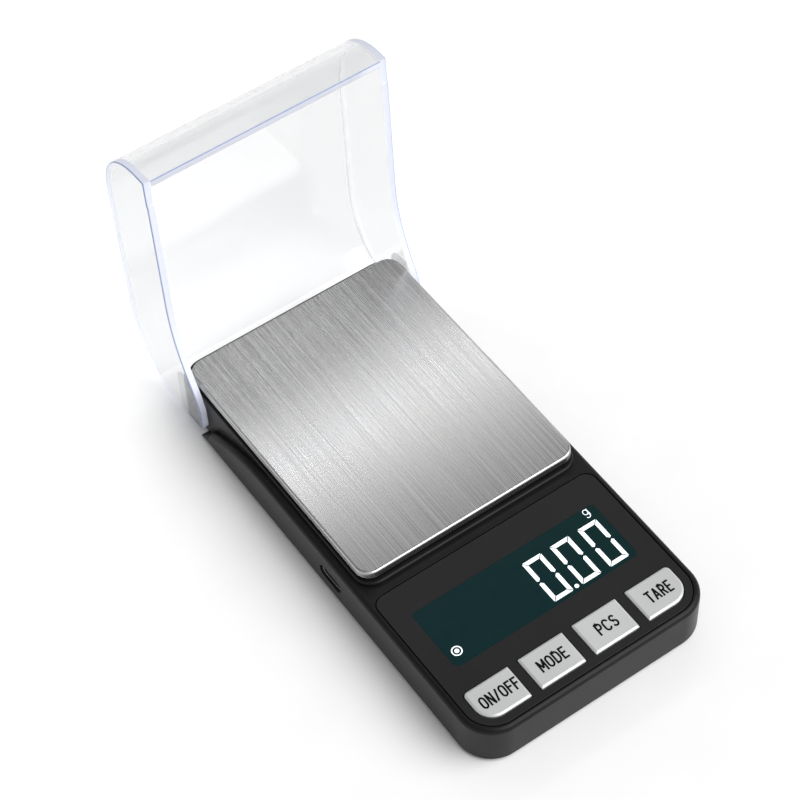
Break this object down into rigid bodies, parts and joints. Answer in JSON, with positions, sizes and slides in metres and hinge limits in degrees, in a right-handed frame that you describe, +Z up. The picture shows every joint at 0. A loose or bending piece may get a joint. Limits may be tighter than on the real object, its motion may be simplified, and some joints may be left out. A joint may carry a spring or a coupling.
{
  "type": "digital gram scale",
  "caption": "Pocket gram scale with a brushed steel weighing platform, a digital display with keys, and a clear hinged lid shown open.",
  "frame": {"origin": "centre of the case's flat underside, between the feet", "axes": "+Z up through the platform, +Y towards the hinge end, +X to the right of a user facing the display"},
  "size_m": [0.075, 0.1667, 0.0936],
  "materials": {
    "case_black": "fine matt moulded grain, nearly black",
    "panel_black": "smooth dark satin overlay",
    "display": "dark teal display with pale digits",
    "key_silver": "silver satin paint with bright edges",
    "plate_steel": "stainless, brushed front to back",
    "carrier_black": "matt black",
    "lid_clear": "clear polished plastic, bluish at the edges",
    "foot_rubber": "matt black rubber",
    "screw_steel": "zinc plated",
    "socket_steel": "bright nickel-plated sheet",
    "inner_black": "matt black",
    "board_green": "green solder mask",
    "inner_white": "white moulding",
    "battery_foil": "crimped foil pouch",
    "beam_aluminium": "milled aluminium",
    "cable_grey": "soft grey insulation"
  },
  "bodies": {
    "base": {"top_housing": "case_black", "bottom_cover": "case_black", "foot_1": "foot_rubber", "foot_2": "foot_rubber", "foot_3": "foot_rubber", "foot_4": "foot_rubber", "case_screw_1": "screw_steel", "case_screw_2": "screw_steel", "case_screw_3": "screw_steel", "case_screw_4": "screw_steel", "control_panel": "panel_black", "lcd_glass": "display", "lcd_backlight": "inner_white", "lcd_frame": "inner_white", "zebra_strip": "foot_rubber", "switch_on_off": "socket_steel", "switch_mode": "socket_steel", "switch_pcs": "socket_steel", "switch_tare": "socket_steel", "main_pcb": "board_green", "controller_chip": "inner_black", "board_screw_1": "screw_steel", "board_screw_2": "screw_steel", "charge_pcb": "board_green", "usb_c_socket": "socket_steel", "usb_c_tongue": "inner_black", "battery_cell": "battery_foil", "gauge_cable": "cable_grey", "battery_lead": "cable_grey", "link_cable": "cable_grey", "load_cell": "beam_aluminium", "load_cell_spacer": "beam_aluminium", "strain_gauge_upper": "inner_white", "strain_gauge_lower": "inner_white", "base_screw_1": "screw_steel", "base_screw_2": "screw_steel", "overload_stop": "screw_steel"},
    "lid": {"lid": "lid_clear"},
    "platform": {"platform_carrier": "carrier_black", "platform_plate": "plate_steel", "platform_screw_1": "screw_steel", "platform_screw_2": "screw_steel"},
    "key_on_off": {"button_on_off": "key_silver", "plunger_on_off": "inner_black"},
    "key_mode": {"button_mode": "key_silver", "plunger_mode": "inner_black"},
    "key_pcs": {"button_pcs": "key_silver", "plunger_pcs": "inner_black"},
    "key_tare": {"button_tare": "key_silver", "plunger_tare": "inner_black"}
  },
  "joints": [
    {"name": "lid_hinge", "type": "hinge", "parent": "base", "child": "lid", "pos_m": [0, 0.06295, 0.0085], "axis": [1, 0, 0], "range_deg": [0, 92.2]},
    {"name": "platform_travel", "type": "slide", "parent": "base", "child": "platform", "axis": [0, 0, -1], "range_m": [0, 0.0004], "stiffness_N_per_m": 12000, "deforming": ["load_cell"]},
    {"name": "key_on_off_travel", "type": "slide", "parent": "base", "child": "key_on_off", "axis": [0, 0, -1], "range_m": [0, 0.0004], "stiffness_N_per_m": 3000},
    {"name": "key_mode_travel", "type": "slide", "parent": "base", "child": "key_mode", "axis": [0, 0, -1], "range_m": [0, 0.0004], "stiffness_N_per_m": 3000},
    {"name": "key_pcs_travel", "type": "slide", "parent": "base", "child": "key_pcs", "axis": [0, 0, -1], "range_m": [0, 0.0004], "stiffness_N_per_m": 3000},
    {"name": "key_tare_travel", "type": "slide", "parent": "base", "child": "key_tare", "axis": [0, 0, -1], "range_m": [0, 0.0004], "stiffness_N_per_m": 3000}
  ]
}
